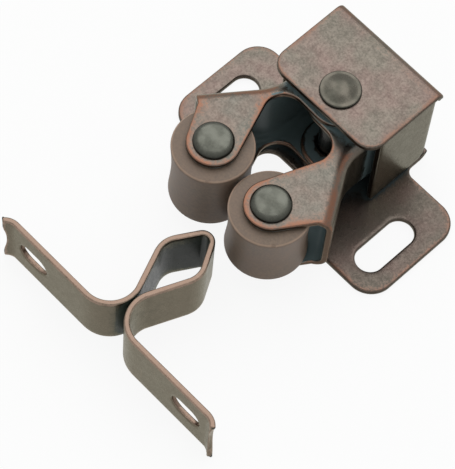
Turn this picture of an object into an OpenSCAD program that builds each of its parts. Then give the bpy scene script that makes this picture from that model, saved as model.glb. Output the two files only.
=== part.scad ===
// Double roller catch for a cabinet door, with its spear strike.
// Millimetres. The base's underside is z = 0 and the screw line is y = 0.
// The rollers and the strike are towards -Y, the housing's back is towards +Y.

/* [Housing] */
// Sheet thickness of the housing
sheet = 1.0; // [0.7:0.05:1.3]
// Inside radius of the housing's bends
bend_in = 0.6; // [0.4:0.05:1.0]
// Width over the two ears
ears_w = 41.7; // [38:0.1:46]
// Front edge of the ears, ahead of the screw line
ear_front = 7.8; // [6.5:0.1:9]
// Back edge of the ears, behind the screw line
ear_back = 10.7; // [9:0.1:12]
// Corner radius of the ears
ear_r = 3.8; // [2:0.1:4.5]
// Radius in the corners between the ears' back edges and the base
heel_r = 1.5; // [0.8:0.1:2.2]
// Distance between the two screw slots
slot_spacing = 31.75; // [29.5:0.05:33]
// Width of the screw slots
slot_w = 4.3; // [3.6:0.1:5]
// Length of the screw slots, end to end
slot_len = 10.3; // [7:0.1:12]
// Width of the housing over its side walls
box_w = 19.0; // [17.5:0.1:21]
// Width of the top plate
top_w = 19.9; // [18:0.1:22]
// Height of the top plate's upper face
box_h = 19.0; // [17:0.1:22]
// Back face of the housing, behind the screw line
box_back = 15.3; // [15:0.1:18]
// Front edge of the top plate, behind the screw line
top_front = 0.5; // [0:0.1:1.5]
// Corner radius at the top plate's front
top_r = 2.8; // [1:0.1:4]
// Front edges of the side walls, behind the top plate's front edge
side_setback = 2.9; // [2.5:0.1:5]
// Width of the notch in the base between the ears
notch_w = 13.5; // [12:0.1:15]
// Bottom of that notch, ahead of the screw line
notch_end = 0.9; // [0.5:0.1:2]
// Corner radius in that notch
notch_r = 2.4; // [1:0.1:3]

/* [Pivot] */
// Distance of the pivot behind the screw line
pivot_y = 4.65; // [4.2:0.05:5.2]
// Diameter of the pivot rivet's shank
pivot_d = 4.0; // [3:0.1:4.6]
// Diameter of the pivot rivet's head
pivot_head_d = 6.0; // [5.2:0.1:7]
// Height of the pivot rivet's head
pivot_head_h = 1.15; // [0.8:0.05:1.6]
// Height of the brim round that head
brim_h = 0.45; // [0.3:0.05:0.6]
// Width of that brim outside the head's dome
brim_w = 0.5; // [0.3:0.05:0.9]
// Height of the raised seat under the arms
seat_h = 0.9; // [0.7:0.05:1.2]

/* [Arms] */
// Sheet thickness of the arms
arm_sheet = 0.9; // [0.7:0.05:1.1]
// Outside radius of the arms' folds
fold_r = 2.1; // [1.5:0.05:2.4]
// Distance from the pivot to the axles, front to back
arm_reach = 17.85; // [17:0.05:20]
// Angle at which the left arm's web splays out
left_splay = 34; // [30:0.5:37]
// Angle at which the right arm's web splays out
right_splay = 36; // [32:0.5:38]
// Radius of the bend in the left arm's web
left_bend = 8; // [6:0.1:10]
// Radius of the bend in the right arm's web
right_bend = 6; // [5:0.1:8]
// Start of those bends, ahead of the pivot
web_bend_start = 2.65; // [2.2:0.05:3.2]
// Front end of the left arm's web, behind the axle
left_setback = 3.45; // [2.8:0.05:4.5]
// Front end of the right arm's web, behind the axle
right_setback = 4.3; // [3.4:0.05:5]
// Length of the arms' tails behind the pivot
tail_len = 7.0; // [6.6:0.1:7.4]
// Height of the tail tabs
tail_h = 7.0; // [5:0.1:9]
// Flange radius round the axles
nose_r = 3.85; // [3.2:0.05:4.3]
// Flange radius round the pivot
eye_r = 4.35; // [3.6:0.05:4.5]
// Angle of the inner edges of the left arm's flanges
left_inner = 23.5; // [20:0.5:24]
// Angle of the inner edges of the right arm's flanges
right_inner = 18.5; // [17:0.5:21]
// Corner radius of the mouth between the arms
mouth_r = 3.0; // [2.4:0.05:3.2]
// Angle to which both arms have swung aside
arm_swing = -2.6; // [-3.5:0.1:2]

/* [Rollers] */
// Diameter of the rollers at their rims
roller_d = 11.8; // [10.5:0.1:12.4]
// Depth of the rollers' waist
roller_waist = 0.28; // [0.1:0.01:0.5]
// Radius of the rollers' rim edges
rim_r = 0.35; // [0.1:0.05:0.6]
// End play of each roller, one side
roller_play = 0.25; // [0.15:0.05:0.6]
// Diameter of the axles' shanks
axle_d = 3.0; // [2.4:0.1:3.6]
// Diameter of the axles' upper heads
axle_head_d = 5.9; // [4.8:0.1:6.6]
// Height of the axles' upper heads
axle_head_h = 1.05; // [0.7:0.05:1.1]
// Diameter of the axles' lower heads
axle_foot_d = 4.6; // [4:0.1:5.4]
// Height of the axles' lower heads
axle_foot_h = 0.6; // [0.4:0.05:0.8]

/* [Spring] */
// Wire diameter of the spring
wire_d = 0.7; // [0.5:0.05:0.8]
// Outside diameter of the spring
spring_d = 4.4; // [3.8:0.1:4.6]
// Number of turns
spring_turns = 8; // [5:1:10]

/* [Strike] */
// Strip thickness of the strike
strip = 0.85; // [0.6:0.05:1.1]
// Strip width of the strike
strip_w = 10.4; // [8:0.1:11]
// Length over the strike's feet
strike_len = 42.6; // [40:0.1:48]
// Height of the spear above the feet's back faces
spear_h = 19.3; // [18.5:0.1:20]
// Width of the spear at its widest
spear_w = 7.7; // [7:0.1:8.4]
// Height of that widest place above the feet's back faces
shoulder_h = 13.4; // [12.6:0.1:14]
// Outside radius of the spear's tip
tip_r = 1.8; // [1.4:0.1:2.4]
// Inside radius of the bends between the feet and the neck
neck_bend = 4.0; // [2.5:0.1:4.4]
// Gap between the two sides of the neck
neck_gap = 0.15; // [0.1:0.05:1]
// Distance between the strike's screw slots
strike_spacing = 30.7; // [28:0.1:33]
// Width of the strike's screw slots
strike_slot_w = 3.6; // [3:0.1:4.4]
// Length of the strike's screw slots, end to end
strike_slot_len = 5.4; // [4.5:0.1:7]
// Radius of the curl at the feet's tips, outer face
curl_r = 2.8; // [1.8:0.1:3.5]
// Angle of that curl
curl_angle = 54; // [40:1:70]
// Depth of the hollow in the feet's ends
claw_depth = 0.9; // [0.3:0.1:1.5]
// Distance of the strike's centre to the right of the catch's
strike_x = 1.15; // [-3:0.05:3]
// Distance of the feet's back faces ahead of the screw line
strike_ahead = 39.7; // [39.5:0.1:60]

/* [Hidden] */
$fn = 96;

// Clearances
edge_gap = 0.2;     // side walls to base and top plate
arm_gap = 0.1;      // flanges to each other and to the seat
top_gap = 1.2;      // upper flange to the top plate
tail_gap = 1.05;    // tails to the side walls
roller_gap = 0.2;   // between the two rollers
rivet_gap = 0.02;   // rivet shanks in the holes that they fill
run_gap = 0.06;     // turning pieces on their shanks
coil_gap = 0.05;    // spring ends to the tails
coil_edge = 0.3;    // spring to the tails' rear edges
over = 1;           // overlap of cutting shapes
inset = 0.2;        // flange sheets' lap into the folded edges
blend = 0.01;       // depth by which round and straight edges run into each other
skin = 0.02;        // depth by which bends lie below the straight lengths they run into
bury = 3;           // angle by which bends run into those straight lengths

// Colours
copper = "#8c7b72";
gunmetal = "#55584f";
brown_plastic = "#6e6256";
spring_steel = "#8a8d90";

// Heights of the two nested arms
outer_z = sheet + seat_h + arm_gap;
outer_h = box_h - sheet - top_gap - outer_z;
inner_z = outer_z + arm_sheet + arm_gap;
inner_h = outer_h - 2 * (arm_sheet + arm_gap);

// Plan of the arms, right hand, before they swing
bend_out = bend_in + sheet;
wall_x = box_w / 2 - sheet;
web_x = wall_x - tail_gap;
roller_r = roller_d / 2;
axle_x = roller_r + roller_gap / 2;
axle_y = pivot_y - arm_reach;
arc_y = pivot_y - web_bend_start;

// Web of each arm: its splay, bend and setback; then the bend's end and the web's front end
left_web = [left_splay, left_bend, left_setback];
right_web = [right_splay, right_bend, right_setback];
function bend_end(web) = [web_x + web[1] * (1 - cos(web[0])), arc_y - web[1] * sin(web[0])];
function web_len(web) = (bend_end(web)[1] - axle_y - web[2]) / cos(web[0]);
function web_tip(web) = bend_end(web) + web_len(web) * [sin(web[0]), -cos(web[0])];

// Edge of the flange sheets along that bend, at angle a
bend_steps = 6;
lap = fold_r + inset;
function bend_lap(web, a) = [web_x + web[1], arc_y] - (web[1] + lap) * [cos(a), sin(a)];

// Flange outline: tangent points on the nose, and the rounded corner of the mouth
eye_y = pivot_y - eye_r + blend;
nose = [axle_x, axle_y];
touch_r = nose_r - blend;
mouth_y = eye_y - mouth_r;
function front_start(web) = web_tip(web) - lap * [cos(web[0]), sin(web[0])];
function front_touch(web) = let (to_nose = nose - front_start(web),
                                 turn = atan2(to_nose[1], to_nose[0]) + asin(touch_r / norm(to_nose)))
    nose + touch_r * [-sin(turn), cos(turn)];
function inner_touch(inner) = nose + touch_r * [-cos(inner), sin(inner)];
function mouth(inner) = let (touch = inner_touch(inner))
    [touch[0] + (sin(inner) * (mouth_y - touch[1]) - mouth_r) / cos(inner), mouth_y];
function mouth_touch(inner) = mouth(inner) + mouth_r * [cos(inner), -sin(inner)];

// Spring between the tails
coil_y = pivot_y + tail_len - coil_edge - spring_d / 2;
coil_z = outer_z + outer_h / 2;
coil_len = 2 * (web_x - arm_sheet - coil_gap);
coil_r = (spring_d - wire_d) / 2;

// Strike, seen in plan from its own centre on the feet's back faces
neck_r = neck_bend + strip / 2;
neck_x = neck_gap / 2 + strip / 2 + neck_r;
neck_y = strip / 2 + neck_r;
shoulder_r = (spear_w - strip) / 2;
flank = atan2(shoulder_h - neck_y, neck_x)
    - acos((shoulder_r + neck_r) / norm([neck_x, shoulder_h - neck_y]));
point_r = tip_r - strip / 2;
point_y = spear_h - tip_r;
taper = asin((shoulder_r - point_r) / (point_y - shoulder_h));
curl_mid = curl_r - strip / 2;
curl_x = strike_len / 2 - (curl_mid + strip / 2) * sin(curl_angle);

// Rectangle from corner a to corner b with round corners
module round_rect(a, b, r) {
    translate([a[0] + r, a[1]]) square([b[0] - a[0] - 2 * r, b[1] - a[1]]);
    translate([a[0], a[1] + r]) square([b[0] - a[0], b[1] - a[1] - 2 * r]);
    for (x = [a[0] + r, b[0] - r], y = [a[1] + r, b[1] - r]) translate([x, y]) circle(r);
}

// Slot with round ends, lying along X
module slot(len, w) {
    square([len - w, w], center = true);
    for (s = [-1, 1]) translate([s * (len - w) / 2, 0]) circle(d = w);
}

// Part of a ring from angle a0 to angle a1, both within half a turn of each other
module ring_part(r_in, r_out, a0, a1) {
    reach = 2 * r_out;
    mid = (a0 + a1) / 2;
    intersection() {
        difference() {
            circle(r_out);
            circle(r_in);
        }
        polygon([[0, 0], reach * [cos(a0), sin(a0)], reach * [cos(mid), sin(mid)],
                 reach * [cos(a1), sin(a1)]]);
    }
}

// Domed rivet head of diameter d and height h, with a low upright rim
module dome(d, h) {
    rim = 0.25 * h;
    rise = h - rim;
    ball = (pow(d / 2, 2) + pow(rise, 2)) / (2 * rise);
    cylinder(d = d, h = rim);
    translate([0, 0, rim]) rotate_extrude() intersection() {
        translate([0, rise - ball]) circle(ball);
        square([d / 2, rise]);
    }
}

// Rounded inner corner between the right ear's back edge and the base's side
module heel() {
    side = heel_r + over;
    translate([box_w / 2 - over, ear_back - over]) difference() {
        square(side);
        translate([side, side]) circle(heel_r + blend);
    }
}

// Housing: one blank, pierced and folded up at the back, forward over the top and at both sides
module base_plan() {
    difference() {
        union() {
            round_rect([-ears_w / 2, -ear_front], [ears_w / 2, ear_back], ear_r);
            translate([-box_w / 2, 0]) square([box_w, box_back - bend_out]);
            heel();
            mirror([1, 0]) heel();
        }
        for (s = [-1, 1]) translate([s * slot_spacing / 2, 0]) rotate(90) slot(slot_len, slot_w);
        round_rect([-notch_w / 2, -ear_front - 2 * notch_r], [notch_w / 2, -notch_end], notch_r);
    }
}

module top_plan() {
    difference() {
        round_rect([-top_w / 2, top_front], [top_w / 2, box_back], top_r);
        translate([-top_w / 2, box_back - bend_out]) square([top_w, bend_out + over]);
    }
    translate([-top_w / 2, top_front + top_r]) square([top_w, box_back - bend_out - top_front - top_r]);
}

// Bend from a level sheet at the bottom up into the back wall
module back_bend(w) {
    translate([-w / 2, box_back - bend_out, bend_out]) rotate([90, 0, 90]) linear_extrude(w)
        ring_part(bend_in, bend_out, -90, 0);
}

module side_wall() {
    front = top_front + side_setback;
    corner_y = box_back - bend_out;
    wall_z = sheet + edge_gap;
    corner_z = bend_out + edge_gap;
    translate([wall_x, front, wall_z]) cube([sheet, corner_y - front, box_h - 2 * wall_z]);
    translate([wall_x - bend_in, corner_y, corner_z]) linear_extrude(box_h - 2 * corner_z)
        ring_part(bend_in, bend_out, 0, 90);
}

module housing() color(copper) difference() {
    union() {
        linear_extrude(sheet) base_plan();
        translate([0, 0, box_h - sheet]) linear_extrude(sheet) top_plan();
        back_bend(box_w);
        translate([0, 0, box_h]) mirror([0, 0, 1]) back_bend(top_w);
        translate([bend_in - wall_x, box_back - sheet, bend_out])
            cube([2 * (wall_x - bend_in), sheet, box_h - 2 * bend_out]);
        side_wall();
        mirror([1, 0, 0]) side_wall();
        translate([0, pivot_y, 0])
            cylinder(r1 = pivot_head_d / 2 + sheet + seat_h, r2 = pivot_head_d / 2 + sheet, h = sheet + seat_h);
    }
    translate([0, pivot_y, -over]) cylinder(d = pivot_d + 2 * rivet_gap, h = box_h + 2 * over);
    translate([0, pivot_y, -over]) cylinder(d = pivot_head_d + 2 * rivet_gap, h = over + seat_h);
}

module pivot_rivet() color(gunmetal) translate([0, pivot_y, 0]) {
    cylinder(d = pivot_d, h = box_h);
    cylinder(d = pivot_head_d, h = seat_h);
    translate([0, 0, box_h]) cylinder(d = pivot_head_d, h = brim_h);
    translate([0, 0, box_h + brim_h]) dome(pivot_head_d - 2 * brim_w, pivot_head_h - brim_h);
}

// Section of an arm's channel at its outer edge: web, two folds and the starts of the flanges
module channel(h, thin = 0) {
    r_in = fold_r - arm_sheet + thin;
    r_out = fold_r - thin;
    translate([thin, fold_r]) square([r_out - r_in, h - 2 * fold_r]);
    translate([fold_r, fold_r]) ring_part(r_in, r_out, 180, 270);
    translate([fold_r, h - fold_r]) ring_part(r_in, r_out, 90, 180);
    for (z = [thin, h - arm_sheet + thin]) translate([fold_r, z]) square([2 * inset, r_out - r_in]);
}

// Straight length of that section, outer face along the Y axis, running towards -Y
module channel_run(len, h) {
    rotate([90, 0, 0]) linear_extrude(len) mirror([1, 0, 0]) channel(h);
}

// Flange sheet: round nose, round eye and the plate between them
module flange(web, inner) {
    rear_y = pivot_y + eye_r - blend;
    difference() {
        union() {
            translate(nose) cylinder(r = nose_r, h = arm_sheet);
            translate([0, pivot_y]) cylinder(r = eye_r, h = arm_sheet);
            linear_extrude(arm_sheet)
                polygon(concat(
                    [front_start(web), front_touch(web), nose, inner_touch(inner), mouth_touch(inner),
                     [mouth(inner)[0], eye_y], [0, eye_y], [0, rear_y], [web_x - lap, rear_y]],
                    [for (k = [0:bend_steps]) bend_lap(web, web[0] * k / bend_steps)]));
        }
        translate([axle_x, axle_y, -over]) cylinder(d = axle_d + 2 * rivet_gap, h = arm_sheet + 2 * over);
        translate([0, pivot_y, -over]) cylinder(d = pivot_d + 2 * run_gap, h = arm_sheet + 2 * over);
    }
}

// Right-hand arm of height h standing on z, hollowed round at the mouth
module arm(z, h, web, inner) {
    rear_y = pivot_y + eye_r;
    tail_y = pivot_y + tail_len;
    translate([0, 0, z]) difference() {
        union() {
            for (level = [0, h - arm_sheet]) translate([0, 0, level]) flange(web, inner);
            translate([web_x, rear_y]) channel_run(rear_y - arc_y, h);
            translate([web_x + web[1], arc_y]) rotate(180 - bury) rotate_extrude(angle = web[0] + 2 * bury)
                translate([web[1], 0]) channel(h, skin);
            translate(bend_end(web)) rotate(web[0]) channel_run(web_len(web), h);
            translate([web_x - arm_sheet, rear_y - over, (h - tail_h) / 2])
                cube([arm_sheet, tail_y - rear_y + over, tail_h]);
            translate([web_x - arm_sheet, coil_y, coil_z - z]) rotate([0, -90, 0])
                cylinder(r = coil_r - wire_d, h = wire_d);
        }
        translate(concat(mouth(inner), -over)) cylinder(r = mouth_r + blend, h = h + 2 * over);
    }
}

module axle(z, h) translate([axle_x, axle_y, z]) {
    cylinder(d = axle_d, h = h);
    translate([0, 0, h]) dome(axle_head_d, axle_head_h);
    mirror([0, 0, 1]) dome(axle_foot_d, axle_foot_h);
}

// Roller with round rim edges and a slight waist, between the flanges of an arm of height h
module roller(z, h) {
    end = arm_sheet + roller_play;
    len = h - 2 * end;
    flat = len / 2 - rim_r;
    waist = (pow(flat, 2) + pow(roller_waist, 2)) / (2 * roller_waist);
    translate([axle_x, axle_y, z + end]) rotate_extrude() difference() {
        union() {
            square([roller_r - rim_r, len]);
            translate([0, rim_r]) square([roller_r, len - 2 * rim_r]);
            for (y = [rim_r, len - rim_r]) translate([roller_r - rim_r, y]) circle(rim_r);
        }
        translate([roller_r + waist - roller_waist, len / 2]) circle(waist, $fn = 720);
        translate([-over, -over]) square([over + axle_d / 2 + run_gap, len + 2 * over]);
    }
}

// Both arms swing together about the pivot
module swung() translate([0, pivot_y]) rotate(arm_swing) translate([0, -pivot_y]) children();

module left_arm() color(copper) swung() mirror([1, 0, 0]) arm(outer_z, outer_h, left_web, left_inner);
module right_arm() color(copper) swung() arm(inner_z, inner_h, right_web, right_inner);
module left_axle() color(gunmetal) swung() mirror([1, 0, 0]) axle(outer_z, outer_h);
module right_axle() color(gunmetal) swung() axle(inner_z, inner_h);
module left_roller() color(brown_plastic) swung() mirror([1, 0, 0]) roller(outer_z, outer_h);
module right_roller() color(brown_plastic) swung() roller(inner_z, inner_h);

// Coil spring along X: a ring of wire_sides points carried round the helix, with level end turns
wire_sides = 6;
turn_steps = 14;
coil_steps = spring_turns * turn_steps;
function coil_x(i) = let (e = turn_steps, run = coil_len - 3 * wire_d, k = (i - e) / (coil_steps - 2 * e))
    i < e ? wire_d / 2 + wire_d * i / e
    : i > coil_steps - e ? coil_len - wire_d / 2 - wire_d * (coil_steps - i) / e
    : 1.5 * wire_d + run * k;
function coil_point(i, j) = let (a = 360 * i / turn_steps, b = 360 * j / wire_sides,
                                 r = coil_r + wire_d / 2 * cos(b))
    [coil_x(i) + wire_d / 2 * sin(b), r * cos(a), r * sin(a)];

module spring() color(spring_steel) swung() translate([-coil_len / 2, coil_y, coil_z])
    polyhedron(
        points = [for (i = [0:coil_steps], j = [0:wire_sides - 1]) coil_point(i, j)],
        faces = concat(
            [[for (j = [0:wire_sides - 1]) j]],
            [[for (j = [wire_sides - 1:-1:0]) coil_steps * wire_sides + j]],
            [for (i = [0:coil_steps - 1], j = [0:wire_sides - 1]) let (k = (j + 1) % wire_sides)
                [i * wire_sides + j, (i + 1) * wire_sides + j, (i + 1) * wire_sides + k, i * wire_sides + k]]));

// Strike: bend of the strip about its middle radius r, and straight length from p to q
module strip_bend(r, a0, a1) ring_part(r - strip / 2 + skin, r + strip / 2 - skin, a0 - bury, a1 + bury);

module strip_run(p, q) {
    run = q - p;
    translate(p) rotate(atan2(run[1], run[0])) translate([0, -strip / 2]) square([norm(run), strip]);
}

// Half of the strip's path in plan, from the side of the tip to a foot's curled end
module strip_half() {
    strip_run([point_r * cos(taper), point_y + point_r * sin(taper)],
              [shoulder_r * cos(taper), shoulder_h + shoulder_r * sin(taper)]);
    translate([0, shoulder_h]) strip_bend(shoulder_r, -flank, taper);
    strip_run([shoulder_r * cos(flank), shoulder_h - shoulder_r * sin(flank)],
              [neck_x - neck_r * cos(flank), neck_y + neck_r * sin(flank)]);
    translate([neck_x, neck_y]) strip_bend(neck_r, 180 - flank, 270);
    strip_run([neck_x, strip / 2], [curl_x, strip / 2]);
    translate([curl_x, strip / 2 - curl_mid]) strip_bend(curl_mid, 90 - curl_angle + bury, 90);
}

module strike() color(copper) translate([strike_x, -strike_ahead, 0]) difference() {
    claw_r = (pow(strip_w / 2, 2) + pow(claw_depth, 2)) / (2 * claw_depth);
    linear_extrude(strip_w) {
        translate([0, point_y]) strip_bend(point_r, taper, 180 - taper);
        strip_half();
        mirror([1, 0, 0]) strip_half();
    }
    for (s = [-1, 1]) {
        translate([s * strike_spacing / 2, strip + over, strip_w / 2]) rotate([90, 0, 0])
            linear_extrude(strip + 2 * over) slot(strike_slot_len, strike_slot_w);
        translate([s * (strike_len / 2 - claw_depth + claw_r), strip + over, strip_w / 2]) rotate([90, 0, 0])
            cylinder(r = claw_r, h = 2 * over + strip + curl_r);
    }
}

housing();
pivot_rivet();
left_arm();
right_arm();
left_axle();
right_axle();
left_roller();
right_roller();
spring();
strike();
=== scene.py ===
import math

import bmesh
import bpy
from mathutils import Matrix, Vector
from mathutils.bvhtree import BVHTree
from mathutils.geometry import delaunay_2d_cdt
from mathutils.kdtree import KDTree


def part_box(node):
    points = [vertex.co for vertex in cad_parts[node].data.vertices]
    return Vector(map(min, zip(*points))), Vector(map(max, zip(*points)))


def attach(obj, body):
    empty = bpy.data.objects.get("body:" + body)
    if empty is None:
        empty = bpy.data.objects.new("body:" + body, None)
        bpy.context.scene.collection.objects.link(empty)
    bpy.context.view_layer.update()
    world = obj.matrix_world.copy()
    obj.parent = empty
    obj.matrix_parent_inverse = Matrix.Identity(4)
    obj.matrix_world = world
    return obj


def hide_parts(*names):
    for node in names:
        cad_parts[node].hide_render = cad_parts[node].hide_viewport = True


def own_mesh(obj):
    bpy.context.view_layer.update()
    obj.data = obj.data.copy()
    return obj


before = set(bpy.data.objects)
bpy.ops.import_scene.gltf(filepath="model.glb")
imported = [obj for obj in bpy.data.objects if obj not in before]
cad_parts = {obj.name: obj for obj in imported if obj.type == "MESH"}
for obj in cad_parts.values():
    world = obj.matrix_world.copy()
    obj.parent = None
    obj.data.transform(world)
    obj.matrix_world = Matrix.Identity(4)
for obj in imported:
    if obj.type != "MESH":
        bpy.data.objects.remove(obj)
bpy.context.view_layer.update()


# Housing: one steel stamping with two slotted ears and a folded bridge, plated in antique copper.
# The press rolls its edges over, and tumbling rubs the dark finish off them until copper shows.
# It is screwed to the cabinet through the ears.

housing_sheet = 0.0010
housing_edge = 0.00028
housing_grid = 0.0008
housing_shelter = 0.009
housing_hole = 0.0125
housing_side_rub = 0.3
housing_top_rub = 0.6
# Where the painted shade on the housing's right-hand end begins, and how fast it deepens.
housing_shade_start = 0.008
housing_shade_fade = 0.004
ear_tip = 0.004
ear_rub_inset = 0.002
ear_rub_setback = 0.001
ear_rub_height = 0.0008


def finish_colour(red, green, blue):
    """A colour of a finish on the 0 to 255 scale, as the linear colour that a shader takes."""
    shades = [c / 255 for c in (red, green, blue)]
    linear = [c / 12.92 if c <= 0.04045 else ((c + 0.055) / 1.055) ** 2.4 for c in shades]
    return (*linear, 1.0)


def put(tree, kind, settings=None, values=None):
    """Adds one shader node, with its settings and the values of its unlinked inputs."""
    node = tree.nodes.new(kind)
    for key, value in (settings or {}).items():
        setattr(node, key, value)
    for key, value in (values or {}).items():
        node.inputs[key].default_value = value
    return node


def new_group(name, takes, gives):
    """An empty shader group with named sockets; returns it with its input and output nodes."""
    group = bpy.data.node_groups.new(name, "ShaderNodeTree")
    for socket, kind in takes:
        group.interface.new_socket(socket, in_out="INPUT", socket_type=kind)
    for socket, kind in gives:
        group.interface.new_socket(socket, in_out="OUTPUT", socket_type=kind)
    return group, put(group, "NodeGroupInput"), put(group, "NodeGroupOutput")


def math_step(tree, operation, *operands, clamp=False):
    """One Math node; each operand is a socket or a number."""
    node = put(tree, "ShaderNodeMath", {"operation": operation, "use_clamp": clamp})
    for slot, operand in enumerate(operands):
        if isinstance(operand, (int, float)):
            node.inputs[slot].default_value = operand
        else:
            tree.links.new(operand, node.inputs[slot])
    return node.outputs[0]


def ramp_between(tree, value, low, high, to_low=0.0, to_high=1.0):
    """Maps low..high of a value smoothly onto to_low..to_high."""
    node = put(
        tree,
        "ShaderNodeMapRange",
        {"interpolation_type": "SMOOTHSTEP"},
        {"From Min": low, "From Max": high, "To Min": to_low, "To Max": to_high},
    )
    tree.links.new(value, node.inputs["Value"])
    return node.outputs["Result"]


# Socket numbers of the Mix node when it mixes colours.
mix_factor = 0
mix_first = 6
mix_second = 7
mix_result = 2


def blend_colours(tree, factor, first, second):
    """Mixes two colours by a factor; each of the three is a socket or written out."""
    node = put(tree, "ShaderNodeMix", {"data_type": "RGBA"})
    for slot, value in ((mix_factor, factor), (mix_first, first), (mix_second, second)):
        if isinstance(value, (float, tuple)):
            node.inputs[slot].default_value = value
        else:
            tree.links.new(value, node.inputs[slot])
    return node.outputs[mix_result]


mottle_scale = 0.27
grit_share = 0.62
speckle_range = (0.30, 0.70)
patch_range = (0.32, 0.68)

plating_grain, taken, given = new_group(
    "plating grain",
    [("Vector", "NodeSocketVector"), ("Grains", "NodeSocketFloat"), ("Patches", "NodeSocketFloat")],
    [("Speckle", "NodeSocketFloat"), ("Patch", "NodeSocketFloat"), ("Height", "NodeSocketFloat")],
)
fine = put(plating_grain, "ShaderNodeTexNoise", values={"Detail": 3.0, "Roughness": 0.62})
mottle = put(plating_grain, "ShaderNodeTexNoise", values={"Detail": 3.0, "Roughness": 0.6})
patch = put(plating_grain, "ShaderNodeTexNoise", values={"Detail": 2.0, "Roughness": 0.5})
for noise in (fine, mottle, patch):
    plating_grain.links.new(taken.outputs["Vector"], noise.inputs["Vector"])
mottle_size = math_step(plating_grain, "MULTIPLY", taken.outputs["Grains"], mottle_scale)
plating_grain.links.new(taken.outputs["Grains"], fine.inputs["Scale"])
plating_grain.links.new(mottle_size, mottle.inputs["Scale"])
plating_grain.links.new(taken.outputs["Patches"], patch.inputs["Scale"])
grit = math_step(plating_grain, "MULTIPLY", fine.outputs["Fac"], grit_share)
cloud = math_step(plating_grain, "MULTIPLY", mottle.outputs["Fac"], 1.0 - grit_share)
height = math_step(plating_grain, "ADD", grit, cloud)
speckle = ramp_between(plating_grain, height, *speckle_range)
patched = ramp_between(plating_grain, patch.outputs["Fac"], *patch_range)
for socket, value in (("Speckle", speckle), ("Patch", patched), ("Height", height)):
    plating_grain.links.new(value, given.inputs[socket])

unevenness = 0.5
shelter_unevenness = 0.25
reach_range = (0.12, 0.34)
rub_range = (0.1, 0.9)
least_rub = 0.72
bright_range = (0.30, 1.0)
dark_range = (0.08, 0.56)
deep_range = (0.28, 0.52)
sheared_range = (0.3, 1.0)

# Bright is copper on rubbed edges plus a painted highlight along folds. Dark is painted shade in
# places in shelter, partly the real blackening of the finish in hollows. Deep is painted shade deep in
# hollows.
rubbed_relief, taken, given = new_group(
    "rubbed relief",
    [(socket, "NodeSocketFloat") for socket in ("Edge", "Recess", "Cut", "Speckle", "Patch")],
    [(socket, "NodeSocketFloat") for socket in ("Bright", "Dark", "Deep", "Sheared")],
)
uneven = math_step(
    rubbed_relief, "MULTIPLY_ADD", taken.outputs["Speckle"], unevenness, -0.5 * unevenness
)
on_face = math_step(rubbed_relief, "SUBTRACT", 1.0, taken.outputs["Cut"], clamp=True)
reached = ramp_between(rubbed_relief, taken.outputs["Recess"], *reach_range, 1.0, 0.0)
often = ramp_between(rubbed_relief, taken.outputs["Patch"], *rub_range, least_rub, 1.0)
rubbed = taken.outputs["Edge"]
for share in (on_face, reached, often):
    rubbed = math_step(rubbed_relief, "MULTIPLY", rubbed, share)
exposed = math_step(rubbed_relief, "ADD", rubbed, uneven)
blotch = math_step(rubbed_relief, "MULTIPLY", uneven, shelter_unevenness)
painted_shade = math_step(rubbed_relief, "SUBTRACT", taken.outputs["Recess"], blotch)
torn = math_step(rubbed_relief, "SUBTRACT", taken.outputs["Cut"], uneven)
for socket, value, limits in (
    ("Bright", exposed, bright_range),
    ("Dark", painted_shade, dark_range),
    ("Deep", painted_shade, deep_range),
    ("Sheared", torn, sheared_range),
):
    rubbed_relief.links.new(ramp_between(rubbed_relief, value, *limits), given.inputs[socket])

scratch_stretch = (1.0, 0.035, 0.035)
scratch_range = (0.70, 0.78)
scratched_range = (0.52, 0.66)

handling_marks, taken, given = new_group(
    "handling marks",
    [("Vector", "NodeSocketVector"), ("Turn", "NodeSocketVector")],
    [("Scratch", "NodeSocketFloat")],
)
lay = put(handling_marks, "ShaderNodeMapping", values={"Scale": scratch_stretch})
handling_marks.links.new(taken.outputs["Vector"], lay.inputs["Vector"])
handling_marks.links.new(taken.outputs["Turn"], lay.inputs["Rotation"])
lines = put(handling_marks, "ShaderNodeTexNoise", values={"Scale": 2600.0, "Detail": 1.0})
sparse = put(handling_marks, "ShaderNodeTexNoise", values={"Scale": 240.0, "Detail": 1.0})
handling_marks.links.new(lay.outputs["Vector"], lines.inputs["Vector"])
handling_marks.links.new(taken.outputs["Vector"], sparse.inputs["Vector"])
line = ramp_between(handling_marks, lines.outputs["Fac"], *scratch_range)
here = ramp_between(handling_marks, sparse.outputs["Fac"], *scratched_range)
handling_marks.links.new(math_step(handling_marks, "MULTIPLY", line, here), given.inputs["Scratch"])

plating_grain_size = {"Grains": 3600.0, "Patches": 190.0}
plating_scratch_turn = {"Turn": (0.2, 0.1, 0.9)}
plating_edge_tint = (0.89, 0.88, 0.79, 1.0)
plating_hollow_gloss = 0.12
plating_metal = 0.96
plating_dullest = 0.38
plating_brightest = 0.27
patch_share = 0.45
# How upright a face must be to get the painted shade of the sides, and how much of it.
upright_range = (0.15, 0.85)
upright_shade_share = 0.85
right_shade_share = 0.42
scratch_share = 0.5


def grained_bump(tree, grain, finish, strength, depth):
    """Raises the grain of a finish a little, so that it breaks up the light."""
    bump = put(tree, "ShaderNodeBump", values={"Strength": strength, "Distance": depth})
    tree.links.new(grain.outputs["Height"], bump.inputs["Height"])
    tree.links.new(bump.outputs["Normal"], finish.inputs["Normal"])


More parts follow.
